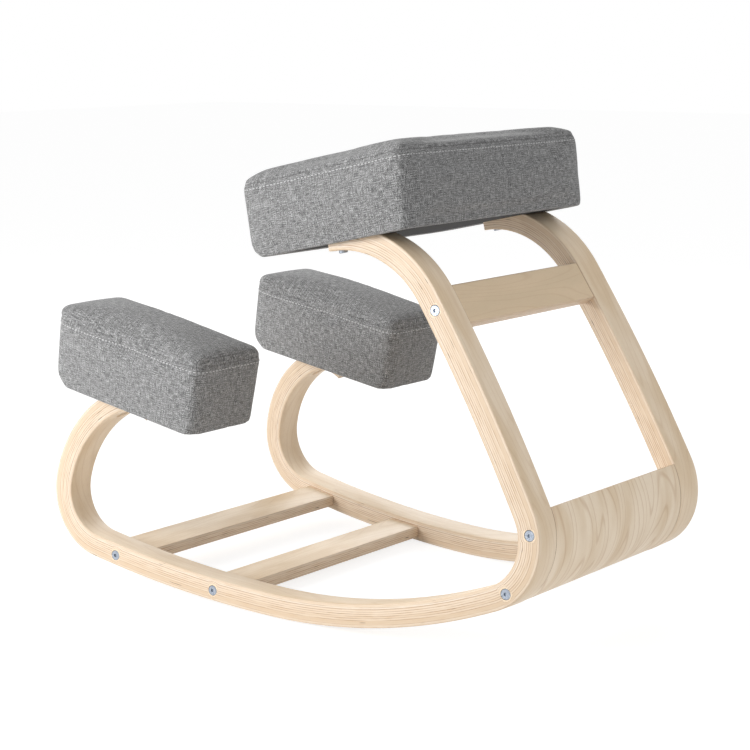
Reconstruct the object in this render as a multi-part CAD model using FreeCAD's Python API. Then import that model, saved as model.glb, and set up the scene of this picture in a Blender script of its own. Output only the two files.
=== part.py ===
import FreeCAD
import Part
import math
import os
from FreeCAD import Vector

# Rocking kneeling chair, in millimetres, +Z up, sitter facing -Y.
# Two bent laminated side frames carry a seat cushion on their upper ends and a knee cushion
# on each lower front end. A rail, a curved back panel and two stretchers hold them apart.

# Side frames: one laminated band each, bent through eight stretches that all turn the same way
band_width = 36.5
band_thickness = 27.5
band_edge_ease = 1.5
splay = 3.9
lean = 3.6
seat_end_half_width = 168.2
seat_end_heading = 13.2
seat_bend_radius = 133.0
seat_bend_turn = 68.5
leg_radius = 2230.0
leg_turn = 6.7
heel_radius = 71.0
heel_turn = 94.4
rocker_radius = 760.0
rocker_turn = 23.7
runner_radius = 1750.0
runner_turn = 9.5
toe_radius = 68.0
toe_turn = 92.0
shin_radius = 150.0
shin_turn = 55.6
knee_bend_radius = 59.0
knee_bend_turn = 58.0

# The chair leans back by this much from its drawn pose when it stands still on its rockers
rest_tilt = 0.8

# Boards between the frames, placed by the distance along the band from its seat end
joint_gap = 0.1
rail_station = 176.0
rail_width = 49.0
rail_thickness = 18.0
rail_recess = 1.0
stretcher_width = 50.0
stretcher_thickness = 16.0
stretcher_drop = 1.0
rear_stretcher_station = 942.0
front_stretcher_station = 1104.0
board_edge_round = 3.0
panel_top_station = 420.0
panel_bottom_station = 562.0
panel_thickness = 18.0
panel_recess = 0.5
panel_edge_round = 1.5
panel_upper_bolt_station = 442.0
panel_lower_bolt_station = 518.0

# Frame bolts, barrel nuts and dowels
bolt_diameter = 6.0
bolt_clearance = 0.3
bolt_line_offset = 1.3
frame_bolt_length = 60.0
frame_head_diameter = 12.4
frame_head_height = 2.6
frame_head_sink = 2.2
head_clearance = 0.3
head_edge_ease = 0.6
socket_across_flats = 4.0
socket_depth = 1.8
barrel_nut_diameter = 10.0
barrel_nut_length = 12.0
barrel_nut_inset = 22.0
barrel_clearance = 0.15
thread_clearance = 0.1
dowel_diameter = 8.0
dowel_in_frame = 12.0
dowel_in_board = 18.0
dowel_spacing = 32.0
dowel_clearance = 0.1
dowel_end_room = 1.0
bolt_end_room = 4.0

# Seat cushion: its underside is a plane that slopes down toward the sitter's knees, and it
# overhangs both frames
seat_length = 228.0
seat_overhang = 7.8
seat_width = 2 * (seat_end_half_width + seat_overhang)
seat_thickness = 88.0
seat_crown = 6.0
seat_slope = 12.8
seat_rear_y = 121.0
seat_rear_z = 22.5
seat_board_inset = 3.0
seat_bolt_rows = (118.0, 78.0)

# Knee cushions, one on each lower front end, their middles further apart than the seat ends
knee_length = 228.0
knee_width = 113.0
knee_thickness = 88.0
knee_crown = 6.0
knee_slope = 8.3
knee_rear_y = -157.5
knee_rear_z = -240.3
knee_centre_offset = 12.8
knee_centre_x = seat_end_half_width + knee_centre_offset
knee_board_inset = 3.0
knee_bolt_rows = (168.0, 130.0)

# What every cushion is made of
fabric_thickness = 1.2
hem_width = 14.0
layer_gap = 0.3
dust_cover_thickness = 0.6
dust_cover_inset = 5.0
board_thickness = 12.0
cushion_edge_round = 9.0
side_draw_in = 2.0
side_bulge = 1.0

# Cushion bolts, washers and tee nuts
cushion_grip = 7.5
cushion_head_diameter = 10.5
cushion_head_height = 4.0
washer_diameter = 14.0
washer_thickness = 1.2
washer_bore_clearance = 0.4
washer_bore_depth = 41.0
tee_flange_diameter = 18.0
tee_flange_thickness = 1.4
tee_barrel_diameter = 8.0
tee_barrel_length = 9.5

# Where a cushion's cross sections stand: turns round each end's eased edge, shares of its length
END_TURNS = (0.0, 40.0, 90.0)
CROWN_SHARES = (0.25, 0.5, 0.75)
END_RISE = 0.35

# Longer than anything in the chair, for cuts that must pass right through
beyond = 900.0

# How far a cut starts outside the face it enters
overcut = 1.0

ACROSS = Vector(1, 0, 0)


def bends():
    """The stretches of the band in order from the seat end, each as its radius and turn."""
    return [
        (seat_bend_radius, seat_bend_turn),
        (leg_radius, leg_turn),
        (heel_radius, heel_turn),
        (rocker_radius, rocker_turn),
        (runner_radius, runner_turn),
        (toe_radius, toe_turn),
        (shin_radius, shin_turn),
        (knee_bend_radius, knee_bend_turn),
    ]


def stretches():
    """Each stretch as its start station, length, radius, centre and starting heading."""
    found = []
    station = 0.0
    point = Vector(0, 0, 0)
    heading = math.radians(seat_end_heading)
    for radius, turn in bends():
        turn = math.radians(turn)
        outward = Vector(-math.sin(heading), math.cos(heading), 0)
        centre = point - outward * radius
        found.append((station, radius * turn, radius, centre, heading))
        station += radius * turn
        heading -= turn
        outward = Vector(-math.sin(heading), math.cos(heading), 0)
        point = centre + outward * radius
    return found


STRETCHES = stretches()
BAND_LENGTH = STRETCHES[-1][0] + STRETCHES[-1][1]


def on_stretch(stretch, station, offset=0.0):
    """Point of one stretch in the frame's own plane, moved outward from the centre line."""
    start, length, radius, centre, heading = stretch
    angle = heading - (station - start) / radius
    outward = Vector(-math.sin(angle), math.cos(angle), 0)
    return centre + outward * (radius + offset)


def along(station, offset=0.0):
    """Point of the whole band at a station counted from its seat end."""
    chosen = STRETCHES[0]
    for stretch in STRETCHES:
        if stretch[0] <= station:
            chosen = stretch
    return on_stretch(chosen, station, offset)


def outward_at(station):
    """Unit vector square to the band at a station, pointing away from its curves' centres."""
    return (along(station, 1.0) - along(station)).normalize()


def in_own_plane(point):
    return point


def band_face(first, last, outer, inner, put=in_own_plane):
    """Face between two stations and two offsets, an arc for each stretch, on the plane put draws on."""
    outer_edges = []
    inner_edges = []
    for stretch in STRETCHES:
        low = max(first, stretch[0])
        high = min(last, stretch[0] + stretch[1])
        if high - low < 0.01:
            continue
        ends = (low, (low + high) / 2, high)
        outer_edges.append(Part.Arc(*[put(on_stretch(stretch, s, outer)) for s in ends]))
        back = [put(on_stretch(stretch, s, inner)) for s in reversed(ends)]
        inner_edges.insert(0, Part.Arc(*back))
    edges = [arc.toShape() for arc in outer_edges]
    edges.append(Part.makeLine(outer_edges[-1].EndPoint, inner_edges[0].StartPoint))
    edges.extend(arc.toShape() for arc in inner_edges)
    edges.append(Part.makeLine(inner_edges[-1].EndPoint, outer_edges[0].StartPoint))
    return Part.Face(Part.Wire(edges))


def frame_axes():
    """Directions of the left frame's plane: rearward, upward and square to its outer face."""
    turn = math.radians(splay)
    tip = math.radians(lean)
    rearward = Vector(-math.sin(turn), math.cos(turn), 0)
    outward = Vector(math.cos(turn) * math.cos(tip), math.sin(turn) * math.cos(tip), math.sin(tip))
    upward = outward.cross(rearward)
    return rearward, upward, outward


REARWARD, UPWARD, SIDEWAYS = frame_axes()
FRAME_PLACE = FreeCAD.Placement(
    FreeCAD.Matrix(
        REARWARD.x, UPWARD.x, SIDEWAYS.x, seat_end_half_width,
        REARWARD.y, UPWARD.y, SIDEWAYS.y, 0,
        REARWARD.z, UPWARD.z, SIDEWAYS.z, 0,
        0, 0, 0, 1,
    )
)


def in_frame(shape):
    """Put a shape drawn in the frame's own plane into the chair, on the left side."""
    placed = shape.copy()
    placed.Placement = FRAME_PLACE.multiply(placed.Placement)
    return placed


def mirrored(shape):
    """The same piece on the chair's other side."""
    return shape.mirror(Vector(0, 0, 0), ACROSS)


def cylinder(diameter, length, start, direction):
    return Part.makeCylinder(diameter / 2, length, start, direction)


def hexagon_prism(across_flats, length, start, direction):
    """Six-sided prism for a hex socket."""
    corner = across_flats / 2 / math.cos(math.radians(30))
    points = []
    for k in range(7):
        angle = math.radians(60 * k)
        points.append(Vector(corner * math.cos(angle), corner * math.sin(angle), 0))
    prism = Part.Face(Part.makePolygon(points)).extrude(Vector(0, 0, length))
    prism.Placement = FreeCAD.Placement(start, FreeCAD.Rotation(Vector(0, 0, 1), direction))
    return prism


def group(shapes):
    return Part.makeCompound(shapes)


# Cushion planes

def cushion_place(centre_x, rear_y, rear_z, slope):
    """Place for a cushion drawn with its rear lower edge on its own X axis and length along -Y."""
    return FreeCAD.Placement(Vector(centre_x, rear_y, rear_z), FreeCAD.Rotation(ACROSS, slope))


SEAT_PLACE = cushion_place(0, seat_rear_y, seat_rear_z, seat_slope)
KNEE_PLACE = cushion_place(knee_centre_x, knee_rear_y, knee_rear_z, -knee_slope)


def above_plane(place):
    """Everything on the cushion's side of its underside plane, as one large block."""
    block = Part.makeBox(beyond, beyond, beyond, Vector(-beyond / 2, -beyond / 2, 0))
    block.Placement = place
    return block


def tab_x(place, row):
    """Sideways place, in the cushion's own axes, of the middle of the band under a bolt row."""
    on_plane = place.multVec(Vector(0, -row, 0))
    local = FRAME_PLACE.inverse()
    first = local.multVec(on_plane)
    step = local.Rotation.multVec(ACROSS)
    return (-band_width / 2 - first.z) / step.z


def cushion_bolt_places(place, rows, both_sides):
    """Where the cushion's bolts cross its underside, in the cushion's own axes."""
    places = []
    for row in rows:
        x = tab_x(place, row)
        places.append(Vector(x, -row, 0))
        if both_sides:
            places.append(Vector(-x, -row, 0))
    return places


SEAT_BOLTS = cushion_bolt_places(SEAT_PLACE, seat_bolt_rows, True)
KNEE_BOLTS = cushion_bolt_places(KNEE_PLACE, knee_bolt_rows, False)


# Side frames

FRAME_BOLT_STATIONS = (
    rail_station,
    panel_upper_bolt_station,
    panel_lower_bolt_station,
    rear_stretcher_station,
    front_stretcher_station,
)
BOARD_STATIONS = (rail_station, rear_stretcher_station, front_stretcher_station)


def dowel_stations():
    """Two dowels to each straight board's end, one on each side of its bolt."""
    found = []
    for station in BOARD_STATIONS:
        found.append(station - dowel_spacing / 2)
        found.append(station + dowel_spacing / 2)
    return found


def cushion_bores(place, bolts):
    """Clearance holes up through a band end, with a wider bore for washer and head below."""
    up = Vector(0, 0, 1)
    hole_diameter = bolt_diameter + 2 * bolt_clearance
    bore_diameter = washer_diameter + 2 * washer_bore_clearance
    cuts = []
    for spot in bolts:
        shoulder = spot - up * cushion_grip
        hole = cylinder(hole_diameter, cushion_grip + 2 * overcut, shoulder - up * overcut, up)
        bore = cylinder(bore_diameter, washer_bore_depth, shoulder - up * washer_bore_depth, up)
        for cut in (hole, bore):
            cut.Placement = place.multiply(cut.Placement)
            cuts.append(cut)
    return cuts


def side_frame():
    """The left band, planed flat under both cushions and bored for every bolt and dowel."""
    half = band_thickness / 2
    band = band_face(0, BAND_LENGTH, half, -half).extrude(Vector(0, 0, -band_width))
    long_edges = [edge for edge in band.Edges if edge.Curve.TypeId == "Part::GeomCircle"]
    band = band.makeChamfer(band_edge_ease, long_edges)
    out = Vector(0, 0, 1)
    cuts = []
    for station in FRAME_BOLT_STATIONS:
        start = along(station, bolt_line_offset) + out * overcut
        hole = bolt_diameter + 2 * bolt_clearance
        cuts.append(cylinder(hole, band_width + 2 * overcut, start, out * -1))
        sink = frame_head_diameter + 2 * head_clearance
        cuts.append(cylinder(sink, frame_head_sink + overcut, start, out * -1))
    for station in dowel_stations():
        start = along(station, bolt_line_offset) - out * (band_width + overcut)
        hole = dowel_diameter + 2 * dowel_clearance
        cuts.append(cylinder(hole, dowel_in_frame + dowel_end_room + overcut, start, out))
    band = in_frame(band.cut(cuts))
    cuts = [above_plane(SEAT_PLACE), above_knee_tab()]
    cuts.extend(cushion_bores(SEAT_PLACE, SEAT_BOLTS))
    cuts.extend(cushion_bores(KNEE_PLACE, KNEE_BOLTS))
    return band.cut(cuts)


def above_knee_tab():
    """The block over the knee cushion's underside, kept forward of the legs."""
    block = Part.makeBox(beyond, beyond / 3, beyond / 3, Vector(-beyond / 2, -beyond / 3, 0))
    block.Placement = KNEE_PLACE
    return block


# Boards between the frames

def room_between_frames():
    """The wedge of space between the two inner faces, less the joint gap."""
    size = beyond * 2
    corner = Vector(-size / 2, -size / 2, -band_width - joint_gap - size)
    left = in_frame(Part.makeBox(size, size, size, corner))
    return left.common(mirrored(left))


ROOM = room_between_frames()


def cross_board(station, width, thickness, centre_offset):
    """Straight board across the chair, square to the band at its station, ends cut to the splay."""
    inner_face = Vector(0, 0, -band_width)
    centre = FRAME_PLACE.multVec(along(station, centre_offset) + inner_face)
    square = FRAME_PLACE.Rotation.multVec(outward_at(station))
    angle = math.degrees(math.atan2(-square.y, square.z))
    box = Part.makeBox(
        beyond, width, thickness, Vector(-beyond / 2, -width / 2, -thickness / 2)
    )
    long_edges = [edge for edge in box.Edges if edge.Length > beyond / 2]
    box = box.makeFillet(board_edge_round, long_edges)
    middle = Vector(0, centre.y, centre.z)
    box.Placement = FreeCAD.Placement(middle, FreeCAD.Rotation(ACROSS, angle))
    return box.common(ROOM)


def board_end_cuts(stations, dowels, face_direction):
    """Bolt, barrel nut and dowel holes in both ends of a board."""
    inward = Vector(0, 0, -1)
    joint = inward * (band_width - overcut)
    cuts = []
    for station in stations:
        spot = along(station, bolt_line_offset)
        hole = bolt_diameter + 2 * bolt_clearance
        depth = frame_bolt_length + frame_head_sink - band_width + bolt_end_room
        cuts.append(cylinder(hole, depth, spot + joint, inward))
        nut = spot + inward * (band_width + barrel_nut_inset)
        side = outward_at(station) * face_direction
        start = nut - side * (barrel_nut_length / 2 + barrel_clearance)
        size = barrel_nut_diameter + 2 * barrel_clearance
        cuts.append(cylinder(size, band_thickness * 2, start, side))
    for station in dowels:
        spot = along(station, bolt_line_offset)
        hole = dowel_diameter + 2 * dowel_clearance
        cuts.append(cylinder(hole, dowel_in_board + dowel_end_room + overcut, spot + joint, inward))
    left = [in_frame(cut) for cut in cuts]
    return left + [mirrored(cut) for cut in left]


def rail():
    offset = band_thickness / 2 - rail_recess - rail_thickness / 2
    board = cross_board(rail_station, rail_width, rail_thickness, offset)
    dowels = [rail_station - dowel_spacing / 2, rail_station + dowel_spacing / 2]
    return board.cut(board_end_cuts([rail_station], dowels, -1))


def stretcher(station):
    board = cross_board(station, stretcher_width, stretcher_thickness, stretcher_drop)
    dowels = [station - dowel_spacing / 2, station + dowel_spacing / 2]
    return board.cut(board_end_cuts([station], dowels, 1))


def seen_from_side(point):
    """Point of the left frame's inner face, moved straight across to the chair's middle plane."""
    across = FRAME_PLACE.multVec(point - Vector(0, 0, band_width))
    return Vector(0, across.y, across.z)


def back_panel():
    """Bent panel that follows the heel of both frames, recessed a little from their backs."""
    outer = band_thickness / 2 - panel_recess
    inner = outer - panel_thickness
    face = band_face(panel_top_station, panel_bottom_station, outer, inner, seen_from_side)
    face.translate(ACROSS * (-beyond / 2))
    panel = face.extrude(ACROSS * beyond)
    corners = [seen_from_side(along(station, offset))
               for station in (panel_top_station, panel_bottom_station) for offset in (outer, inner)]
    ends = [edge for edge in panel.Edges if runs_across_at(edge, corners)]
    panel = panel.makeFillet(panel_edge_round, ends).common(ROOM)
    bolts = (panel_upper_bolt_station, panel_lower_bolt_station)
    return panel.cut(board_end_cuts(bolts, [], -1))


def runs_across_at(edge, points):
    """True for an edge that runs straight across the chair through one of the points."""
    start = edge.Vertexes[0].Point
    if edge.Length < beyond / 2:
        return False
    return any(math.hypot(start.y - p.y, start.z - p.z) < 0.05 for p in points)


# Bolts, nuts and dowels of the frames

def socket_head(diameter, height, start, direction):
    """Low round head that starts on its seat, with its rim eased and a hex socket in its top."""
    head = cylinder(diameter, height, start, direction)
    top = start + direction * height
    rim = []
    for edge in head.Edges:
        if edge.Curve.TypeId == "Part::GeomCircle" and (edge.Curve.Center - top).Length < 0.01:
            rim.append(edge)
    head = head.makeChamfer(head_edge_ease, rim)
    low = top + direction * overcut
    socket = hexagon_prism(socket_across_flats, socket_depth + overcut, low, direction * -1)
    return head.cut(socket)


def frame_bolt(station):
    """Bolt from the outer face through the frame into the barrel nut in the board's end."""
    out = Vector(0, 0, 1)
    seat = along(station, bolt_line_offset) - out * frame_head_sink
    head = socket_head(frame_head_diameter, frame_head_height, seat, out)
    shank = cylinder(bolt_diameter, frame_bolt_length, seat, out * -1)
    return in_frame(head.fuse(shank).removeSplitter())


def barrel_nut(station):
    """Cross nut in the board's end, square to the bolt, with its threaded hole across it."""
    centre = along(station, bolt_line_offset) - Vector(0, 0, band_width + barrel_nut_inset)
    side = outward_at(station)
    nut = cylinder(barrel_nut_diameter, barrel_nut_length, centre - side * (barrel_nut_length / 2), side)
    hole = cylinder(
        bolt_diameter + 2 * thread_clearance,
        barrel_nut_diameter * 2,
        centre + Vector(0, 0, barrel_nut_diameter),
        Vector(0, 0, -1),
    )
    return in_frame(nut.cut(hole))


def dowel(station):
    start = along(station, bolt_line_offset) - Vector(0, 0, band_width + dowel_in_board)
    return in_frame(cylinder(dowel_diameter, dowel_in_board + dowel_in_frame, start, Vector(0, 0, 1)))


# Cushions

def cushion_section(y, width, low, high, crown, rounding):
    """One cross section: flat underside, drawn-in bulging sides, eased upper corners, crowned top."""
    half = width / 2
    foot = half - side_draw_in
    shoulder = high - rounding
    bend = rounding * (1 - math.sqrt(0.5))
    waist = (low + shoulder) / 2
    points = {
        "foot": Vector(foot, y, low),
        "waist": Vector(half - side_draw_in / 2 + side_bulge, y, waist),
        "shoulder": Vector(half, y, shoulder),
        "corner": Vector(half - bend, y, high - bend),
        "edge": Vector(half - rounding, y, high),
    }
    left = {name: Vector(-p.x, p.y, p.z) for name, p in points.items()}
    edges = [
        Part.makeLine(left["foot"], points["foot"]),
        Part.Arc(points["foot"], points["waist"], points["shoulder"]).toShape(),
        Part.Arc(points["shoulder"], points["corner"], points["edge"]).toShape(),
        Part.Arc(points["edge"], Vector(0, y, high + crown), left["edge"]).toShape(),
        Part.Arc(left["edge"], left["corner"], left["shoulder"]).toShape(),
        Part.Arc(left["shoulder"], left["waist"], left["foot"]).toShape(),
    ]
    return Part.Wire(edges)


def cushion_form(length, width, thickness, crown, rounding, inset, low):
    """Closed crowned form: sections along the length, closer together round both ends."""
    rounding = max(rounding - inset, 2.0)
    front = -length + inset
    rear = -inset
    full = width - 2 * inset
    high = thickness - inset
    rows = []
    for turn in END_TURNS:
        reach = rounding * (1 - math.sin(math.radians(turn)))
        drop = rounding * (1 - math.cos(math.radians(turn)))
        rows.append((reach, drop))
    wires = []
    for reach, drop in reversed(rows):
        wires.append((rear - reach, drop))
    for share in CROWN_SHARES:
        wires.append((rear + (front - rear) * share, 0.0))
    for reach, drop in rows:
        wires.append((front + reach, drop))
    sections = []
    for y, drop in wires:
        along_share = (rear - y) / (rear - front)
        rise = crown * (END_RISE + (1 - END_RISE) * math.sin(math.pi * along_share))
        sections.append(cushion_section(y, full - 2 * drop, low, high - drop, rise, rounding))
    return Part.makeLoft(sections, True, True)


class Cushion:
    """One cushion's pieces, drawn in its own axes from the same few sizes, then put in place."""

    def __init__(self, place, length, width, thickness, crown, inset, bolts):
        self.place = place
        self.length = length
        self.width = width
        self.thickness = thickness
        self.crown = crown
        self.inset = inset
        self.bolts = bolts
        self.dust_top = joint_gap + dust_cover_thickness
        self.hem_top = self.dust_top + layer_gap + fabric_thickness
        self.board_low = self.hem_top + layer_gap
        self.board_top = self.board_low + board_thickness

    def put(self, shape):
        placed = shape.copy()
        placed.Placement = self.place.multiply(placed.Placement)
        return placed

    def slab(self, inset, low, high):
        """Flat block with rounded upright corners, inset from the cushion's outline."""
        box = Part.makeBox(
            self.width - 2 * inset,
            self.length - 2 * inset,
            high - low,
            Vector(-self.width / 2 + inset, -self.length + inset, low),
        )
        upright = [edge for edge in box.Edges if abs(edge.tangentAt(edge.FirstParameter).z) > 0.9]
        return box.makeFillet(cushion_edge_round, upright)

    def bolt_holes(self, diameter):
        holes = []
        for spot in self.bolts:
            low = spot - Vector(0, 0, self.thickness)
            holes.append(cylinder(diameter, 2 * self.thickness, low, Vector(0, 0, 1)))
        return holes

    def form(self, inset, low):
        return cushion_form(
            self.length, self.width, self.thickness, self.crown, cushion_edge_round, inset, low
        )

    def dust_cover(self):
        sheet = self.slab(dust_cover_inset, joint_gap, self.dust_top)
        return self.put(sheet.cut(self.bolt_holes(bolt_diameter + 2 * bolt_clearance)))

    def board(self):
        inset = self.inset + fabric_thickness
        board = self.slab(inset, self.board_low, self.board_top)
        return self.put(board.cut(self.bolt_holes(tee_barrel_diameter + 2 * thread_clearance)))

    def foam(self):
        block = self.form(fabric_thickness + layer_gap, self.board_top + layer_gap)
        pockets = []
        for spot in self.bolts:
            low = spot + Vector(0, 0, self.board_top)
            size = tee_flange_diameter + 2 * layer_gap
            pockets.append(
                cylinder(size, tee_flange_thickness + 2 * layer_gap, low, Vector(0, 0, 1))
            )
        return self.put(block.cut(pockets))

    def cover(self):
        """Sewn fabric shell, open underneath inside its turned-under hem."""
        low = self.dust_top + layer_gap
        outer = self.form(0, low)
        inner = self.form(fabric_thickness, self.hem_top)
        opening = self.slab(hem_width, low - overcut, self.hem_top + overcut)
        return self.put(outer.cut(inner).cut(opening))

    def tee_nuts(self):
        nuts = []
        for spot in self.bolts:
            top = spot + Vector(0, 0, self.board_top + joint_gap)
            flange = cylinder(tee_flange_diameter, tee_flange_thickness, top, Vector(0, 0, 1))
            barrel = cylinder(tee_barrel_diameter, tee_barrel_length, top, Vector(0, 0, -1))
            thread = bolt_diameter + 2 * thread_clearance
            low = top - Vector(0, 0, tee_barrel_length + overcut)
            hole = cylinder(thread, 2 * tee_barrel_length, low, Vector(0, 0, 1))
            nuts.append(flange.fuse(barrel).cut(hole).removeSplitter())
        return self.put(group(nuts))

    def washers(self):
        rings = []
        for spot in self.bolts:
            low = spot - Vector(0, 0, cushion_grip + joint_gap + washer_thickness)
            ring = cylinder(washer_diameter, washer_thickness, low, Vector(0, 0, 1))
            hole = bolt_diameter + 2 * bolt_clearance
            rings.append(ring.cut(cylinder(hole, washer_thickness, low, Vector(0, 0, 1))))
        return self.put(group(rings))

    def tab_bolts(self):
        """Bolts up through the band's end and the board, their ends level with the tee nuts."""
        bolts = []
        for spot in self.bolts:
            down = Vector(0, 0, -1)
            seat = spot + down * (cushion_grip + 2 * joint_gap + washer_thickness)
            head = socket_head(cushion_head_diameter, cushion_head_height, seat, down)
            reach = self.board_top + tee_flange_thickness - seat.z
            shank = cylinder(bolt_diameter, reach, seat, Vector(0, 0, 1))
            bolts.append(head.fuse(shank).removeSplitter())
        return self.put(group(bolts))


# The whole chair

def cushion_nodes(cushion, name):
    return {
        name + "_cover": cushion.cover(),
        name + "_foam": cushion.foam(),
        name + "_board": cushion.board(),
        name + "_dust_cover": cushion.dust_cover(),
        name + "_bolts": cushion.tab_bolts(),
        name + "_washers": cushion.washers(),
        name + "_tee_nuts": cushion.tee_nuts(),
    }


def chair():
    """Every node of the chair by name, in the pose it is drawn in."""
    nodes = {}
    left = {
        "side_frame": side_frame(),
        "frame_bolts": group([frame_bolt(station) for station in FRAME_BOLT_STATIONS]),
        "barrel_nuts": group([barrel_nut(station) for station in FRAME_BOLT_STATIONS]),
        "dowels": group([dowel(station) for station in dowel_stations()]),
    }
    knee = Cushion(
        KNEE_PLACE, knee_length, knee_width, knee_thickness, knee_crown, knee_board_inset, KNEE_BOLTS
    )
    left.update(cushion_nodes(knee, "knee"))
    for name, shape in left.items():
        nodes["left_" + name] = shape
        nodes["right_" + name] = mirrored(shape)
    nodes["upper_back_rail"] = rail()
    nodes["lower_back_panel"] = back_panel()
    nodes["rear_stretcher"] = stretcher(rear_stretcher_station)
    nodes["front_stretcher"] = stretcher(front_stretcher_station)
    seat = Cushion(
        SEAT_PLACE, seat_length, seat_width, seat_thickness, seat_crown, seat_board_inset, SEAT_BOLTS
    )
    nodes.update(cushion_nodes(seat, "seat"))
    return nodes


def stand_on_floor(nodes):
    """Turn the chair to its resting pose and put its middle over the origin, rockers at zero."""
    turned = {}
    for name, shape in nodes.items():
        copy = shape.copy()
        copy.rotate(Vector(0, 0, 0), ACROSS, -rest_tilt)
        turned[name] = copy
    whole = group(list(turned.values())).optimalBoundingBox(False, False)
    shift = Vector(0, -(whole.YMin + whole.YMax) / 2, -whole.ZMin)
    for shape in turned.values():
        shape.translate(shift)
    return turned


def main():
    os.makedirs("parts", exist_ok=True)
    for name, shape in stand_on_floor(chair()).items():
        shape.exportStep("parts/" + name + ".step")


main()
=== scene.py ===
import math

import bmesh
import bpy
import numpy as np
from mathutils import Matrix, Vector
from mathutils.bvhtree import BVHTree


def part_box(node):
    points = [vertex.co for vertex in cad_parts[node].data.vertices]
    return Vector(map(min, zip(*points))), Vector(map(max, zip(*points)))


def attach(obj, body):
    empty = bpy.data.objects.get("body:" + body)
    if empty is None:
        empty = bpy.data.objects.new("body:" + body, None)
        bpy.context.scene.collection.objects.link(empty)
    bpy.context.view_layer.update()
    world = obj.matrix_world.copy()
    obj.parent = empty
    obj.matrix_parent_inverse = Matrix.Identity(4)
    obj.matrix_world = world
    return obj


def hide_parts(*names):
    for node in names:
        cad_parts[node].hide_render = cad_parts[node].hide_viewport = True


bl_info = {
    "name": "Rocking kneeling chair",
    "version": (1, 0, 0),
    "blender": (4, 5, 0),
    "location": "View3D > Sidebar > Chair",
    "description": "Dresses a rocking kneeling chair in birch plywood, zinc-plated bolts and woven cloth",
    "category": "Object",
}

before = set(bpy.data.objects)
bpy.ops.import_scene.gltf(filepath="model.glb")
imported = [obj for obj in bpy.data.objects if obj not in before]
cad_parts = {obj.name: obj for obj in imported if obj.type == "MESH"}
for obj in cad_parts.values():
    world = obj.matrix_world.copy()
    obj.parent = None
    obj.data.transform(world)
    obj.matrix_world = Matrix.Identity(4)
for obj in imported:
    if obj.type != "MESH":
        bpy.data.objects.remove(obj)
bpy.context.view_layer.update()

MM = 0.001
SIDES = ("left", "right")
UP = Vector((0, 0, 1))
MIRROR = Matrix.Scale(-1, 4, (1, 0, 0))
MATH = "ShaderNodeMath"
VECTOR = "ShaderNodeVectorMath"
RANGE = "ShaderNodeMapRange"
NOISE = "ShaderNodeTexNoise"
# By number, a Mix node has its share at 0, two numbers at 2 and 3, and two colours at 6 and 7.
# Its mixed colour comes out at 2
MIX = "ShaderNodeMix"

# The bent band: radius in millimetres and turn in degrees of each stretch, from its seat end
seat_bend = (133.0, 68.5)
leg = (2230.0, 6.7)
heel = (71.0, 94.4)
rocker = (760.0, 23.7)
runner = (1750.0, 9.5)
toe = (68.0, 92.0)
shin = (150.0, 55.6)
knee_bend = (59.0, 58.0)
BENDS = (seat_bend, leg, heel, rocker, runner, toe, shin, knee_bend)
band_width = 36.5 * MM
band_thickness = 27.5 * MM
edge_round = 1.5 * MM
edge_round_points = 3
# How the band lies on the chair, with its angles in degrees
seat_end_heading = 13.2
seat_end_half_width = 168.2 * MM
splay = 3.9
lean = 3.6
rest_tilt = 0.8
path_step = 3.0 * MM
outline_steps = 1500
# The planed ends: least slant of the band to a cushion, and the distance that joins points
least_slant = 0.2
merge_distance = 0.02 * MM
# Edges bent by more degrees than this stay sharp
sharp_angle = 35

# Boards between the frames: stations along the band and sections
joint_gap = 0.1 * MM
rail_station = 176.0 * MM
rail_section = (49.0 * MM, 18.0 * MM)
rail_recess = 1.0 * MM
stretcher_stations = {"rear": 942.0 * MM, "front": 1104.0 * MM}
stretcher_section = (50.0 * MM, 16.0 * MM)
stretcher_drop = 1.0 * MM
board_edge_round = 3.0 * MM
board_segments = 60
panel_stations = (420.0 * MM, 562.0 * MM)
panel_thickness = 18.0 * MM
panel_recess = 0.5 * MM
panel_edge_round = 1.5 * MM
panel_segments = 90
corner_steps = 4
# Width of the darker line of painted shade, for the gap where a board meets a frame
meeting_shade_width = 1.1 * MM

# Head sinks of the frame bolts (diameter, depth), and the washers' bores under the cushions
bolt_line_offset = 1.3 * MM
bolt_stations = (176.0 * MM, 442.0 * MM, 518.0 * MM, 942.0 * MM, 1104.0 * MM)
head_sink = (13.0 * MM, 2.2 * MM)
washer_bore = 14.8 * MM
washer_clearance = 0.3 * MM
washer_reach = washer_bore * 1.2
bore_reach = 41.0 * MM
cylinder_sides = 32

# Cushions: length, width and thickness, the middle of the rear lower edge on the drawn chair, the
# underside's slope in degrees, and how the padding swells: upward, towards the front and at both
# ends
seat_form = {
    "size": (228.0 * MM, 352.0 * MM, 88.0 * MM), "place": (0.0, 121.0 * MM, 22.5 * MM), "slope": 12.8,
    "crown": 5.0 * MM, "puff": 5.5 * MM, "front_rise": 0.5 * MM,
    "rear_flare": 13.0 * MM, "front_flare": 16.0 * MM, "front_corner": 16.0 * MM,
}
knee_form = {
    "size": (228.0 * MM, 113.0 * MM, 88.0 * MM), "place": (181.0 * MM, -157.5 * MM, -240.3 * MM),
    "slope": -8.3, "crown": 8.0 * MM, "puff": 8.0 * MM, "front_rise": 4.0 * MM,
    "rear_flare": 7.0 * MM, "front_flare": 26.0 * MM, "front_corner": 26.0 * MM,
}
hem_lift = 1.0 * MM
block_cell = 8.0 * MM
fewest_cells = 4
rim_round = 14.0 * MM
rear_corner_round = 12.0 * MM
toe_round = 18.0 * MM
side_flare = 2.0 * MM
hem_drop = 3.0 * MM
# How steeply the hem's drop gathers at the rim and at the foot, and the crown at the top
rim_power = 12
foot_power = 4
crown_power = 3
# The cloth is pressed clear of a side frame within this reach, to this clearance
press_reach = 4.0 * MM
cloth_clearance = 0.2 * MM

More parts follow.
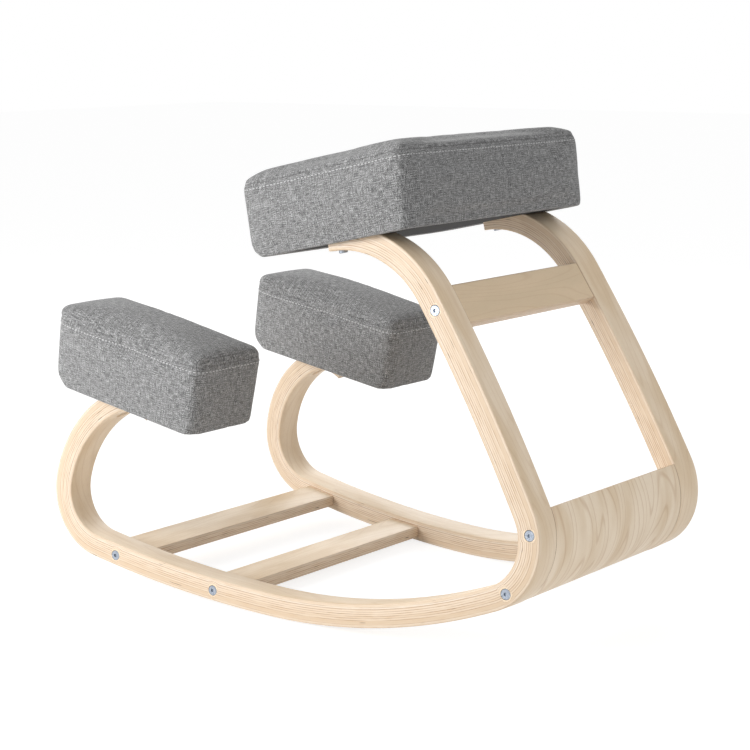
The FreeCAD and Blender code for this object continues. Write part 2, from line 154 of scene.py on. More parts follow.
# Cloth simulation
cloth_grip = 9 * MM
cloth_frames = 20
least_move = 1e-9
cloth_settings = {
    "quality": 5, "mass": 0.3, "tension_stiffness": 25, "compression_stiffness": 25,
    "shear_stiffness": 12, "bending_stiffness": 4, "use_pressure": True, "uniform_pressure_force": 4,
}

# Seams: one round the top panel and one up the back, sewn and shaded rearward of these places
back_seam_offset = -12.0 * MM
sewn_back = -12.0 * MM
shaded_back = -14.0 * MM
seam_depth = 1.3 * MM
# A seam pulls in the points of the sides, up to this upward part of their normal, that lie
# within these shares of the mesh size from it
side_slant = 0.8
ring_reach = 0.45
back_reach = 0.5
# A face belongs to the top panel, or to the underside, past these upward parts of its normal
top_slant = 0.35
under_slant = -0.7
# Where the cloth of the sides and of the ends lies in the UV map, in metres from the top panel
side_island = 1.0
end_island = 2.0
topstitch_drop = 6.0 * MM
stitch_steps = 360
stitch_lift = 0.1 * MM
thread_width = 1.3 * MM
bead_sides = 6
bead_rings = 4

# Birch plywood: each pattern's size along the fibres, across them and through the plies in
# millimetres, its detail, roughness and distortion, and between which values it fades in
ply_patterns = {
    "waver": ((90, 60, 200), 2.0, 0.5, 0.0, None),
    "broken line": ((45, 200, 2.5), 2.0, 0.5, 0.0, (0.30, 0.62)),
    "fibre": ((14, 3, 0.55), 3.0, 0.6, 0.0, (0.42, 0.72)),
    "gap": ((26, 400, 1.7), 1.0, 0.5, 0.0, (0.70, 0.76)),
    "figure": ((320, 46, 900), 0.6, 0.45, 0.12, None),
    "patch": ((120, 30, 900), 2.0, 0.5, 0.0, (0.35, 0.70)),
    "pores": ((9, 0.8, 900), 2.0, 0.6, 0.0, (0.50, 0.75)),
}
ply_thickness = 2.5 * MM
ply_waver = 0.45 * MM
joint_seed = 0.37
glue_half_width = 0.45 * MM
glue_core = 0.12 * MM
glue_contrast = 2.4
glue_most = 0.88
glue_least = 0.06
gap_fade = (0.9 * MM, 0.3 * MM)
veneer_skin = 0.30 * MM
skin_fade = 0.09 * MM
# One resin-rich joint near the inner face, and the paler ply beside it
heavy_joint = 8.0 * MM
heavy_core = 0.1 * MM
heavy_strength = 0.75
pale_ply_middle = ply_thickness * 0.55
pale_fade = (1.4 * MM, 1.0 * MM)
# Flat-sawn figure: contours of the slow field, and how wide each shows
figure_contours = 15.0
contour_width = 0.16
plain_figure = 0.16
strong_figure = 0.36
pore_strength = 0.22
meeting_shade_strength = 0.7
fibre_height = 0.4
# Roughness of the lacquer: how much the fibres change it, and its least
lacquer_roughness = (0.15, 0.42)

# Melange cloth in millimetres: size of a yarn's shade along both cloth directions, and its shift
yarn_width = 1.25
slub_length = 9.0
yarns = {
    "weft": (slub_length, yarn_width, 3.0),
    "warp": (yarn_width, slub_length, 11.0),
    "speck": (yarn_width, yarn_width, 17.0),
}
# How far weave and specks move the cloth's tone, and the painted shade of a seam's crease from the seam
# outward: from and to
weave_tone = (0.75, -0.03)
speck_tone = 0.33
seam_shade = (0.2 * MM, 1.3 * MM, 0.55, 1.0)

# Stage: the camera's place and its angles in degrees on the drawn chair, and the place, size and
# power of each light
camera_place = Vector((1761.54, 1386.85, 250.73)) * MM
camera_yaw = 39.56
camera_pitch = 10.91
camera_roll = 0.11
focal_pixels = 1870.34
image_pixels = 750
sensor = 36.0
floor_reach = 12.0
floor_glow = 0.8
floor_shade = 0.36
white = (1, 1, 1, 1)
world_strength = 0.51
light_aim = Vector((0, 0, 0.25))
lights = {
    "key_light": (Vector((2.5, -1.4, 1.2)), 1.6, 72.0),
    "back_light": (Vector((0.4, 2.4, 1.6)), 1.4, 6.0),
    "fill_light": (Vector((-2.4, -1.2, 1.4)), 1.6, 22.0),
}


class ChairSizes(bpy.types.PropertyGroup):
    """Sizes of the chair that a user would change. They start as the solids have them."""

    band_width: bpy.props.FloatProperty(
        name="Band width", description="Width of each bent side frame",
        default=band_width, unit="LENGTH",
    )
    band_thickness: bpy.props.FloatProperty(
        name="Band thickness", description="Thickness of the bent plies together",
        default=band_thickness, unit="LENGTH",
    )
    edge_round: bpy.props.FloatProperty(
        name="Edge rounding", description="Radius sanded on the long edges of the side frames",
        default=edge_round, unit="LENGTH",
    )
    voxel: bpy.props.FloatProperty(
        name="Cushion mesh", description="Mesh size of the cushions before they are inflated",
        default=5.0 * MM, unit="LENGTH",
    )
    swell: bpy.props.FloatProperty(
        name="Cushion swell", description="Most that the foam pushes the cloth outward",
        default=5.0 * MM, unit="LENGTH",
    )
    stitch_length: bpy.props.FloatProperty(
        name="Stitch length", description="Length of one stitch of the topstitching",
        default=3.6 * MM, unit="LENGTH",
    )
    stitch_pitch: bpy.props.FloatProperty(
        name="Stitch pitch", description="Distance from one stitch to the next",
        default=5.4 * MM, unit="LENGTH",
    )
    seam_drop: bpy.props.FloatProperty(
        name="Seam drop", description="How far the top panel's seam lies below the cushion's rim",
        default=3.0 * MM, unit="LENGTH",
    )


class ChairColours(bpy.types.PropertyGroup):
    """Colours of the chair that a user would change, as sRGB hex values."""

    cloth_light: bpy.props.StringProperty(
        name="Cloth, light yarn", description="Light yarn of the cushions' cloth", default="BEBEBE",
    )
    cloth_dark: bpy.props.StringProperty(
        name="Cloth, dark yarn", description="Dark yarn of the cushions' cloth", default="3C3C3D",
    )
    veneer: bpy.props.StringProperty(
        name="Veneer", description="Birch face veneer", default="F7E3C8",
    )
    ply_edge: bpy.props.StringProperty(
        name="Ply edge", description="Sanded edges of the birch plies", default="E4D2BC",
    )
    glue: bpy.props.StringProperty(
        name="Glue line", description="Resin glue between the plies", default="9C6B3C",
    )
    zinc: bpy.props.StringProperty(
        name="Zinc plate", description="Bright zinc on the bolts", default="B6BDC8",
    )


# Small helpers

def linear(hex_value):
    """The linear colour of an sRGB hex value, with full opacity."""
    shades = [int(hex_value[i:i + 2], 16) / 255 for i in (0, 2, 4)]
    return [s / 12.92 if s <= 0.04045 else ((s + 0.055) / 1.055) ** 2.4 for s in shades] + [1.0]


def add(tree, kind, inputs=(), stops=(), **settings):
    """Add a node with its settings and colour stops. Its inputs, in order or by name, take a value
    or a link from a socket or from a node's first output."""
    made = tree.nodes.new(kind)
    for name, value in settings.items():
        setattr(made, name, value)
    if stops:
        elements = made.color_ramp.elements
        while len(elements) < len(stops):
            elements.new(0.5)
        for element, (place, shade) in zip(elements, stops):
            element.position = place
            element.color = linear(shade)
    for key, value in inputs.items() if isinstance(inputs, dict) else enumerate(inputs):
        if isinstance(value, bpy.types.Node):
            value = value.outputs[0]
        if isinstance(value, bpy.types.NodeSocket):
            tree.links.new(value, made.inputs[key])
        else:
            made.inputs[key].default_value = value
    return made


def new_object(name, data):
    made = bpy.data.objects.new(name, data)
    bpy.context.scene.collection.objects.link(made)
    return made


def new_mesh(name, points, faces=(), edges=()):
    mesh = bpy.data.meshes.new(name)
    mesh.from_pydata(points, edges, faces)
    return mesh


def smooth_by_angle(mesh):
    mesh.shade_smooth()
    mesh.set_sharp_from_angle(angle=math.radians(sharp_angle))


def outward_faces(mesh):
    """Turn every face outward."""
    form = bmesh.new()
    form.from_mesh(mesh)
    bmesh.ops.recalc_face_normals(form, faces=form.faces)
    form.to_mesh(mesh)
    form.free()


def mark(mesh, name, values):
    """Store a number or a vector for each point of a mesh under a name."""
    values = np.array(values, dtype=np.float32)
    if values.ndim == 2:
        mesh.attributes.new(name, "FLOAT_VECTOR", "POINT").data.foreach_set("vector", values.ravel())
    else:
        mesh.attributes.new(name, "FLOAT", "POINT").data.foreach_set("value", values)


def point_array(mesh):
    return np.array([v.co for v in mesh.vertices])


def baked(source):
    """The evaluated object as a plain mesh, after its modifiers."""
    ready = source.evaluated_get(bpy.context.evaluated_depsgraph_get())
    return bpy.data.meshes.new_from_object(ready)


def modified(piece, kind, **settings):
    """The mesh of an object after one modifier, which is then taken off."""
    modifier = piece.modifiers.new(kind.lower(), kind)
    for name, value in settings.items():
        setattr(modifier, name, value)
    mesh = baked(piece)
    piece.modifiers.clear()
    return mesh


def mirrored(mesh):
    """A copy of a mesh for the chair's other side."""
    other = mesh.copy()
    other.transform(MIRROR)
    other.flip_normals()
    return other


def dress(piece, material, slot, *nodes):
    """Give a finished piece its material and body, and let it stand for CAD nodes. Its slot is not used."""
    if material:
        piece.data.materials.clear()
        piece.data.materials.append(material)
    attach(piece, "root")
    if nodes:
        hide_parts(*nodes)


def new_tree(name, sockets):
    """An empty Geometry Nodes tree with named inputs, and the sockets that they arrive at."""
    tree = bpy.data.node_groups.new(name, "GeometryNodeTree")
    tree.interface.new_socket("Geometry", in_out="OUTPUT", socket_type="NodeSocketGeometry")
    for label, kind in sockets.items():
        tree.interface.new_socket(label, in_out="INPUT", socket_type="NodeSocket" + kind)
    return tree, add(tree, "NodeGroupInput").outputs


def finish_tree(tree, shape, material):
    """Make a tree's instances real, give them their material and send them out."""
    real = add(tree, "GeometryNodeRealizeInstances", [shape])
    done = add(tree, "GeometryNodeSetMaterial", {0: real, "Material": material})
    add(tree, "NodeGroupOutput", [done])
    return tree


def run_tree(name, mesh, tree, inputs):
    """Run a node tree on a mesh with the named inputs, and return the result as a plain mesh."""
    source = new_object(name, mesh)
    modifier = source.modifiers.new(tree.name, "NODES")
    modifier.node_group = tree
    for item in tree.interface.items_tree:
        if item.in_out == "INPUT" and item.name in inputs:
            modifier[item.identifier] = inputs[item.name]
    result = baked(source)
    bpy.data.objects.remove(source)
    return result


# The band's centre line, in the plane of the left frame: x rearward, y upward, z outward

def band_stretches():
    """Start station, length, radius, centre and heading of each stretch, in metres."""
    found = []
    station = 0.0
    point = Vector((0, 0, 0))
    heading = math.radians(seat_end_heading)
    for radius, turn in BENDS:
        radius = radius * MM
        turn = math.radians(turn)
        centre = point - Vector((-math.sin(heading), math.cos(heading), 0)) * radius
        found.append((station, radius * turn, radius, centre, heading))
        station += radius * turn
        heading -= turn
        point = centre + Vector((-math.sin(heading), math.cos(heading), 0)) * radius
    return found


STRETCHES = band_stretches()
BAND_LENGTH = STRETCHES[-1][0] + STRETCHES[-1][1]


def band_at(station):
    """Centre line point and outward direction at a station."""
    chosen = STRETCHES[0]
    for stretch in STRETCHES:
        if stretch[0] <= station:
            chosen = stretch
    start, _, radius, centre, heading = chosen
    angle = heading - (station - start) / radius
    outward = Vector((-math.sin(angle), math.cos(angle), 0))
    return centre + outward * radius, outward


def frame_matrix():
    """Places the left frame's plane in the chair as it is drawn, before it stands on the floor."""
    turn = math.radians(splay)
    tip = math.radians(lean)
    rearward = Vector((-math.sin(turn), math.cos(turn), 0))
    outward = Vector((
        math.cos(turn) * math.cos(tip),
        math.sin(turn) * math.cos(tip),
        math.sin(tip),
    ))
    upward = outward.cross(rearward)
    placed = Matrix((rearward, upward, outward)).transposed().to_4x4()
    placed.translation = Vector((seat_end_half_width, 0, 0))
    return placed


DRAWN_FRAME = frame_matrix()


def standing_matrix():
    """Tips the drawn chair back on its rockers and moves it to where the left frame's solid is."""
    tipped = Matrix.Rotation(math.radians(-rest_tilt), 4, "X")
    low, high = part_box("left_side_frame")
    half = band_thickness / 2
    corners = (
        (edge_round, half), (band_width - edge_round, half),
        (0, half - edge_round), (band_width, half - edge_round),
    )
    rows = []
    for k in range(outline_steps + 1):
        centre, outward = band_at(BAND_LENGTH * k / outline_steps)
        for across, through in corners:
            rows.append(tipped @ DRAWN_FRAME @ (centre + outward * through - UP * across))
    ys = [p.y for p in rows]
    middle = (min(ys) + max(ys)) / 2
    shift = Vector((0, (low.y + high.y) / 2 - middle, low.z - min(p.z for p in rows)))
    return Matrix.Translation(shift) @ tipped


STANDING = standing_matrix()
FRAME = STANDING @ DRAWN_FRAME


# Side frames

def cut_plane(form):
    """A cushion's underside in the frame's plane, as a point and a normal."""
    tilt = Matrix.Rotation(math.radians(form["slope"]), 4, "X")
    point = FRAME.inverted() @ STANDING @ Vector(form["place"])
    normal = (FRAME.inverted() @ STANDING @ tilt).to_3x3() @ UP
    return point, normal


def path_mesh(width):
    """The band's centre line as a line of edges that carries its station and outward direction."""
    steps = round(BAND_LENGTH / path_step)
    stations = [BAND_LENGTH * k / steps for k in range(steps + 1)]
    rows = [band_at(station) for station in stations]
    points = [centre - UP * (width / 2) for centre, _ in rows]
    mesh = new_mesh("band_path", points, edges=[(k, k + 1) for k in range(steps)])
    mark(mesh, "station", stations)
    mark(mesh, "outward", [outward for _, outward in rows])
    return mesh


def band_tree():
    """Geometry Nodes that sweep a rounded section along the path and plane both ends flat."""
    tree, given = new_tree("Bent laminated band", {
        "Path": "Geometry", "Width": "Float", "Thickness": "Float", "Edge round": "Float",
        "Seat point": "Vector", "Seat normal": "Vector",
        "Knee point": "Vector", "Knee normal": "Vector",
        "Middle station": "Float", "Material": "Material",
    })
    line = add(tree, "GeometryNodeMeshToCurve", {"Mesh": given["Path"]})
    line = add(tree, "GeometryNodeSetCurveNormal", {"Curve": line}, mode="Z_UP")
    section = add(tree, "GeometryNodeCurvePrimitiveQuadrilateral", {
        "Width": given["Thickness"], "Height": given["Width"],
    })
    section = add(tree, "GeometryNodeFilletCurve", {
        "Curve": section, "Radius": given["Edge round"], "Count": edge_round_points,
    }, mode="POLY")
    place = add(tree, "GeometryNodeInputPosition")
    section = add(tree, "GeometryNodeStoreNamedAttribute", {
        "Geometry": section, "Name": "section", "Value": place,
    }, data_type="FLOAT_VECTOR", domain="POINT")
    swept = add(tree, "GeometryNodeCurveToMesh", {
        "Curve": line, "Profile Curve": section, "Fill Caps": True,
    })
    kept = {}
    for name, kind in (("station", "FLOAT"), ("outward", "FLOAT_VECTOR"), ("section", "FLOAT_VECTOR")):
        held = add(tree, "GeometryNodeInputNamedAttribute", {"Name": name}, data_type=kind)
        kept[name] = held.outputs["Attribute"]
    planed = 0.0
    for end, operation in (("Seat", "LESS_THAN"), ("Knee", "GREATER_THAN")):
        chosen = add(tree, MATH, [kept["station"], given["Middle station"]], operation=operation)
        above = add(tree, VECTOR, [place, given[end + " point"]], operation="SUBTRACT")
        height = add(tree, VECTOR, [above, given[end + " normal"]], operation="DOT_PRODUCT")
        height = add(tree, MATH, [height.outputs["Value"], 0.0], operation="MAXIMUM")
        slant = add(tree, VECTOR, [kept["outward"], given[end + " normal"]], operation="DOT_PRODUCT")
        slant = add(tree, MATH, [slant.outputs["Value"], least_slant], operation="MAXIMUM")
        depth = add(tree, MATH, [height, slant], operation="DIVIDE")
        planed = add(tree, MATH, [depth, chosen, planed], operation="MULTIPLY_ADD")
    # The section's own x runs inward, and its y runs to the frame's inner face
    split = add(tree, "ShaderNodeSeparateXYZ", [kept["section"]])
    through = add(tree, MATH, [split.outputs["X"], -1.0], operation="MULTIPLY")
    through = add(tree, MATH, [through, planed], operation="SUBTRACT")
    grain = add(tree, "ShaderNodeCombineXYZ", [kept["station"], split.outputs["Y"], through])
    half = add(tree, MATH, [given["Thickness"], 2.0], operation="DIVIDE")
    grained = add(tree, "GeometryNodeStoreNamedAttribute", {
        "Geometry": swept, "Name": "grain", "Value": grain,
    }, data_type="FLOAT_VECTOR", domain="POINT")
    grained = add(tree, "GeometryNodeStoreNamedAttribute", {
        "Geometry": grained, "Name": "half", "Value": half,
    }, data_type="FLOAT", domain="POINT")
    drop = add(tree, MATH, [planed, -1.0], operation="MULTIPLY")
    drop = add(tree, VECTOR, {0: kept["outward"], "Scale": drop}, operation="SCALE")
    flat = add(tree, "GeometryNodeSetPosition", {"Geometry": grained, "Offset": drop})
    merged = add(tree, "GeometryNodeMergeByDistance", {"Geometry": flat, "Distance": merge_distance})
    return finish_tree(tree, merged, given["Material"])


def cylinder_mesh(rods):
    """Closed cylinders as one mesh, each from a start, a direction, a radius and a length."""
    sides = cylinder_sides
    points = []
    faces = []
    for start, direction, radius, length in rods:
        turn = direction.to_track_quat("Z", "Y").to_matrix()
        base = len(points)
        for reach in (0.0, length):
            for k in range(sides):
                angle = 2 * math.pi * k / sides
                rim = turn @ Vector((radius * math.cos(angle), radius * math.sin(angle), reach))
                points.append(start + rim)
        faces.append([base + sides - 1 - k for k in range(sides)])
        faces.append([base + sides + k for k in range(sides)])
        for k in range(sides):
            after = (k + 1) % sides
            faces.append([base + k, base + after, base + sides + after, base + sides + k])
    return new_mesh("cutters", points, faces)


def washer_tops(node, form):
    """Centre of each washer's upper face on the chair's left side, and the direction upward."""
    tilt = Matrix.Rotation(math.radians(form["slope"]), 3, "X")
    axis = (STANDING.to_3x3() @ (tilt @ UP)).normalized()
    washers = []
    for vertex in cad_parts[node].data.vertices:
        point = vertex.co.copy()
        if point.x <= 0:
            continue
        for washer in washers:
            if (washer[0] - point).length < washer_reach:
                washer.append(point)
                break
        else:
            washers.append([point])
    found = []
    for washer in washers:
        mean = sum(washer, Vector()) / len(washer)
        top = max((point - mean).dot(axis) for point in washer)
        middle = Vector([(min(values) + max(values)) / 2 for values in zip(*washer)])
        found.append(middle + axis * top)
    return found, axis


def frame_cutters():
    """The bolt head sinks in the outer face, and the bores for washers under both cushions."""
    rods = []
    for station in bolt_stations:
        centre, outward = band_at(station)
        start = centre + outward * bolt_line_offset + UP * MM
        rods.append((start, -UP, head_sink[0] / 2, head_sink[1] + MM))
    back = FRAME.inverted()
    for node, form in (("seat_washers", seat_form), ("left_knee_washers", knee_form)):
        tops, axis = washer_tops(node, form)
        for top in tops:
            start = back @ (top + axis * washer_clearance)
            rods.append((start, back.to_3x3() @ -axis, washer_bore / 2, bore_reach))
    return cylinder_mesh(rods)


class CHAIR_OT_side_frames(bpy.types.Operator):
    """Sweep both bent side frames, plane their ends and sink the bolt heads"""

    bl_idname = "chair.side_frames"
    bl_label = "Side frames"

    def execute(self, context):
        sizes = context.scene.chair_sizes
        material = birch_plywood(context.scene.chair_colours)
        seat_point, seat_normal = cut_plane(seat_form)
        knee_point, knee_normal = cut_plane(knee_form)
        mesh = run_tree("band_path", path_mesh(sizes.band_width), band_tree(), {
            "Width": sizes.band_width, "Thickness": sizes.band_thickness,
            "Edge round": sizes.edge_round, "Middle station": BAND_LENGTH / 2,
            "Seat point": seat_point, "Seat normal": seat_normal,
            "Knee point": knee_point, "Knee normal": knee_normal, "Material": material,
        })
        band = new_object("side_frame_pattern", mesh)
        cutter = new_object("side_frame_cutter", frame_cutters())
        left = modified(band, "BOOLEAN", object=cutter, operation="DIFFERENCE", solver="EXACT")
        bpy.data.objects.remove(cutter)
        bpy.data.objects.remove(band)
        left.transform(FRAME)
        smooth_by_angle(left)
        for side, half in zip(SIDES, (left, mirrored(left))):
            piece = new_object(side + "_bent_frame", half)
            dress(piece, material, "birch_ply", side + "_side_frame")
        return {"FINISHED"}


# Boards between the frames

def inner_face_x(y, z):
    """Half the room between the frames at a point of the chair's middle plane."""
    normal = FRAME.to_3x3() @ UP
    point = FRAME @ Vector((0, 0, -band_width - joint_gap))
    return point.x - (normal.y * (y - point.y) + normal.z * (z - point.z)) / normal.x


def rounded_section(width, thickness, radius):
    """Closed section of a board with rounded long edges: (across, through) points in order."""
    rows = []
    signs = ((1, 1), (-1, 1), (-1, -1), (1, -1))
    for quarter, (across_sign, through_sign) in enumerate(signs):
        across = across_sign * (width / 2 - radius)
        through = through_sign * (thickness / 2 - radius)
        for k in range(corner_steps + 1):
            angle = math.radians(90 * (quarter + k / corner_steps))
            rows.append((across + radius * math.cos(angle), through + radius * math.sin(angle)))
    return rows


def spanning_board(name, rows, thickness, segments, grain_turned=False):
    """Board from frame to frame. Each row is a point (y, z) with its (across, through) grain place.
    The grain runs from frame to frame, or round the section where it is turned."""
    margin = meeting_shade_width / inner_face_x(*rows[0][0])
    inner_shares = [-1 + 2 * k / segments for k in range(1, segments)]
    shares = [-1, -1 + margin, *inner_shares, 1 - margin, 1]
    points = []
    grain = []
    meeting_shade = []
    for share in shares:
        for (y, z), (across, through) in rows:
            x = share * inner_face_x(y, z)
            points.append((x, y, z))
            grain.append((across, x, through) if grain_turned else (x, across, through))
            # The end rows carry the painted shade of the gap against each frame
            meeting_shade.append(1.0 if abs(share) == 1 else 0.0)
    count = len(rows)
    last = len(points) - count
    faces = []
    for base in range(0, last, count):
        for i in range(count):
            after = (i + 1) % count
            faces.append((base + i, base + after, base + count + after, base + count + i))
    faces.append(tuple(range(count))[::-1])
    faces.append(tuple(range(last, last + count)))
    mesh = new_mesh(name, points, faces)
    mark(mesh, "grain", grain)
    mark(mesh, "meeting_shade", meeting_shade)
    mark(mesh, "half", [thickness / 2] * len(points))
    outward_faces(mesh)
    smooth_by_angle(mesh)
    return new_object(name, mesh)


def straight_board(name, station, section, offset):
    """Board whose section lies square to the band at a station, moved outward by an offset."""
    centre, outward = band_at(station)
    middle = FRAME @ (centre + outward * offset - UP * band_width)
    square = FRAME.to_3x3() @ outward
    up = Vector((0, square.y, square.z)).normalized()
    side = Vector((0, up.z, -up.y))
    rows = []
    for across, through in rounded_section(*section, board_edge_round):
        spot = middle + side * across + up * through
        rows.append(((spot.y, spot.z), (across, through)))
    return spanning_board(name, rows, section[1], board_segments)


def panel_outline(length):
    """The panel's section unrolled flat, with points along both faces so that it can bend."""
    corners = rounded_section(length, panel_thickness, panel_edge_round)
    quarter = len(corners) // 4
    rows = []
    for k in range(4):
        rows.extend(corners[k * quarter:(k + 1) * quarter])
        start = Vector(rows[-1])
        stop = Vector(corners[((k + 1) * quarter) % len(corners)])
        steps = max(1, round((stop - start).length / path_step))
        rows.extend(tuple(start.lerp(stop, i / steps)) for i in range(1, steps))
    return rows


def bent_panel():
    """Moulded back panel: its section follows the band, its veneer runs round the bend."""
    offset = (band_thickness - panel_thickness) / 2 - panel_recess
    low, high = panel_stations
    rows = []
    for across, through in panel_outline(high - low):
        centre, outward = band_at((low + high) / 2 + across)
        spot = FRAME @ (centre + outward * (offset + through) - UP * band_width)
        rows.append(((spot.y, spot.z), (across, through)))
    return spanning_board("moulded_back_panel", rows, panel_thickness, panel_segments, grain_turned=True)


class CHAIR_OT_boards(bpy.types.Operator):
    """Make the back rail, the moulded back panel and both stretchers"""

    bl_idname = "chair.boards"
    bl_label = "Boards"

    def execute(self, context):
        colours = context.scene.chair_colours
        material = birch_plywood(colours)
        # The back rail's darker veneer is painted shade, for the seat's shadow over it
        shaded_rail_birch = birch_plywood(colours, "Birch plywood, painted shade under the seat", "E1C9A7")
        figured = birch_plywood(colours, "Flat-sawn birch face veneer", "FBE9D0", strong_figure)
        offset = (band_thickness - rail_section[1]) / 2 - rail_recess
        rail = straight_board("back_rail", rail_station, rail_section, offset)
        dress(rail, shaded_rail_birch, "birch_ply", "upper_back_rail")
        for end, station in stretcher_stations.items():
            piece = straight_board(end + "_cross_slat", station, stretcher_section, stretcher_drop)
            dress(piece, material, "birch_ply", end + "_stretcher")
        dress(bent_panel(), figured, "birch_ply", "lower_back_panel")
        return {"FINISHED"}


# Cushions

def block_points(counts):
    """Points and quads on the six faces of a cube from -1 to 1, as a closed mesh."""
    index = {}
    faces = []
    for axis in range(3):
        u_axis, v_axis = [a for a in range(3) if a != axis]
        for side in (-1, 1):
            for i in range(counts[u_axis]):
                for j in range(counts[v_axis]):
                    quad = []
                    for di, dj in ((0, 0), (1, 0), (1, 1), (0, 1)):
                        spot = [side] * 3
                        spot[u_axis] = -1 + 2 * (i + di) / counts[u_axis]
                        spot[v_axis] = -1 + 2 * (j + dj) / counts[v_axis]
                        key = tuple(round(v, 6) for v in spot)
                        quad.append(index.setdefault(key, len(index)))
                    faces.append(quad)
    return list(index), faces


def drawn_in(point, half, radius, top):
    """The point, drawn in to a rounding of the block's edges that starts at the height top."""
    core = Vector((
        max(-half.x + radius, min(half.x - radius, point.x)),
        max(-half.y + radius, min(half.y - radius, point.y)),
        min(top, point.z),
    ))
    off = point - core
    if off.length > radius:
        return core + off.normalized() * radius
    return point


def cushion_block(form):
    """The foam block's form before the cloth is blown over it: crowned, and wider at the top."""
    length, width, thickness = form["size"]
    half = Vector((width / 2, length / 2, (thickness + form["puff"]) / 2))
    middle = Vector((0, -length / 2, hem_lift + half.z))
    points, faces = block_points([max(fewest_cells, round(2 * h / block_cell)) for h in half])
    placed = []
    for spot in points:
        raw = Vector([spot[i] * half[i] for i in range(3)])
        # The corners at the front and the front's own reach grow from the foot upward
        rise = min(1.0, (1 + spot[2]) * half.z / toe_round)
        grown = math.sqrt(1 - (1 - rise) ** 2)
        corner_round = rear_corner_round
        if spot[1] < 0:
            corner_round += (form["front_corner"] - rear_corner_round) * grown
        raw = drawn_in(raw, half, corner_round, half.z)
        rim_foot = half.z - rim_round
        if raw.z > rim_foot:
            raw = drawn_in(raw, half, rim_round, rim_foot)
        height = (raw.z + half.z) / (2 * half.z)
        dome = (1 - (raw.x / half.x) ** 2) * (1 - (raw.y / half.y) ** 2)
        rim = max(abs(raw.x / half.x), abs(raw.y / half.y)) ** rim_power
        flare = form["rear_flare"] * height if raw.y > 0 else form["front_flare"] * grown
        lift = form["crown"] * max(0.0, dome) * height ** crown_power
        lift += form["front_rise"] * max(0.0, -raw.y / half.y) * height
        lift -= hem_drop * rim * (1 - height) ** foot_power
        placed.append(middle + Vector((
            raw.x * (1 + side_flare * height / half.x),
            raw.y * (1 + flare / half.y),
            raw.z + lift,
        )))
    mesh = new_mesh("foam_block", placed, faces)
    outward_faces(mesh)
    return mesh


def inflated(name, mesh, sizes):
    """Blow the cloth up over its block: remesh, a short cloth simulation held at the underside, and
    a cap on how far any point moves."""
    piece = new_object(name, mesh)
    piece.data = modified(piece, "REMESH", mode="VOXEL", voxel_size=sizes.voxel)
    rest = point_array(piece.data)
    held = piece.vertex_groups.new(name="underside")
    low = rest[:, 2].min()
    held.add([i for i, co in enumerate(rest) if co[2] < low + cloth_grip], 1.0, "REPLACE")
    cloth = piece.modifiers.new("cloth", "CLOTH")
    for setting, value in cloth_settings.items():
        setattr(cloth.settings, setting, value)
    cloth.settings.vertex_group_mass = held.name
    cloth.settings.effector_weights.gravity = 0
    cloth.point_cache.frame_start = 1
    cloth.point_cache.frame_end = cloth_frames
    for number in range(1, cloth_frames + 1):
        bpy.context.scene.frame_set(number)
    moved = point_array(baked(piece)) - rest
    piece.modifiers.clear()
    piece.vertex_groups.clear()
    bpy.context.scene.frame_set(1)
    reach = np.linalg.norm(moved, axis=1, keepdims=True)
    rest = rest + moved * np.minimum(1.0, sizes.swell / np.maximum(reach, least_move))
    piece.data.vertices.foreach_set("co", rest.ravel())
    return piece


def mark_cloth(mesh, form, row):
    """Cloth directions as a UV map in metres, one island to a sewn panel, and the way to a seam."""
    length, width, _ = form["size"]
    places = np.zeros(len(mesh.loops) * 2)
    for face in mesh.polygons:
        centre = face.center
        slant = face.normal.z
        for loop in face.loop_indices:
            co = mesh.vertices[mesh.loops[loop].vertex_index].co
            if (centre.z > row and slant > top_slant) or slant < under_slant:
                spot = (co.x, co.y)
            elif abs(centre.x) / width > abs(centre.y + length / 2) / length:
                spot = (co.y + math.copysign(side_island, centre.x), co.z)
            else:
                spot = (co.x + math.copysign(end_island, centre.y + length / 2), co.z)
            places[2 * loop:2 * loop + 2] = spot
    mesh.uv_layers.new(name="cloth").data.foreach_set("uv", places)
    points = point_array(mesh)
    away = np.abs(points[:, 2] - row)
    back = (points[:, 1] > shaded_back) & (points[:, 2] < row)
    away[back] = np.minimum(away[back], np.abs(points[back, 0] - back_seam_offset))
    mark(mesh, "seam", away)


def sew(piece, form, sizes):
    """Pull the cloth in along its seams, refine it, and mark seams and cloth directions on it.
    Returns the height of the top panel's seam."""
    mesh = piece.data
    points = point_array(mesh)
    normals = np.array([v.normal for v in mesh.vertices])
    height = form["size"][2] - sizes.seam_drop
    row = points[np.argmin(np.abs(points[:, 2] - height)), 2]
    on_side = np.abs(normals[:, 2]) < side_slant
    ring = on_side & (np.abs(points[:, 2] - row) < sizes.voxel * ring_reach)
    back = on_side & (points[:, 1] > sewn_back) & (points[:, 2] < row)
    back &= np.abs(points[:, 0] - back_seam_offset) < sizes.voxel * back_reach
    points[ring | back] -= normals[ring | back] * seam_depth
    mesh.vertices.foreach_set("co", points.ravel())
    piece.data = modified(piece, "SUBSURF", levels=1, render_levels=1)
    piece.data.shade_smooth()
    mark_cloth(piece.data, form, row)
    return row


def stitch_line(piece, form, height):
    """A closed line of edges round the cushion at a height, lying on its cloth."""
    length, width, _ = form["size"]
    tree = BVHTree.FromObject(piece, bpy.context.evaluated_depsgraph_get())
    centre = Vector((0, -length / 2, height))
    points = []
    for k in range(stitch_steps):
        angle = 2 * math.pi * k / stitch_steps
        box = max(abs(math.cos(angle)) / width, abs(math.sin(angle)) / length)
        far = Vector((math.cos(angle), math.sin(angle), 0)) / box
        spot, normal, _, _ = tree.ray_cast(centre + far, -far.normalized())
        if spot is not None:
            points.append(spot + normal * stitch_lift)
    count = len(points)
    return new_mesh("stitch_line", points, edges=[(k, (k + 1) % count) for k in range(count)])


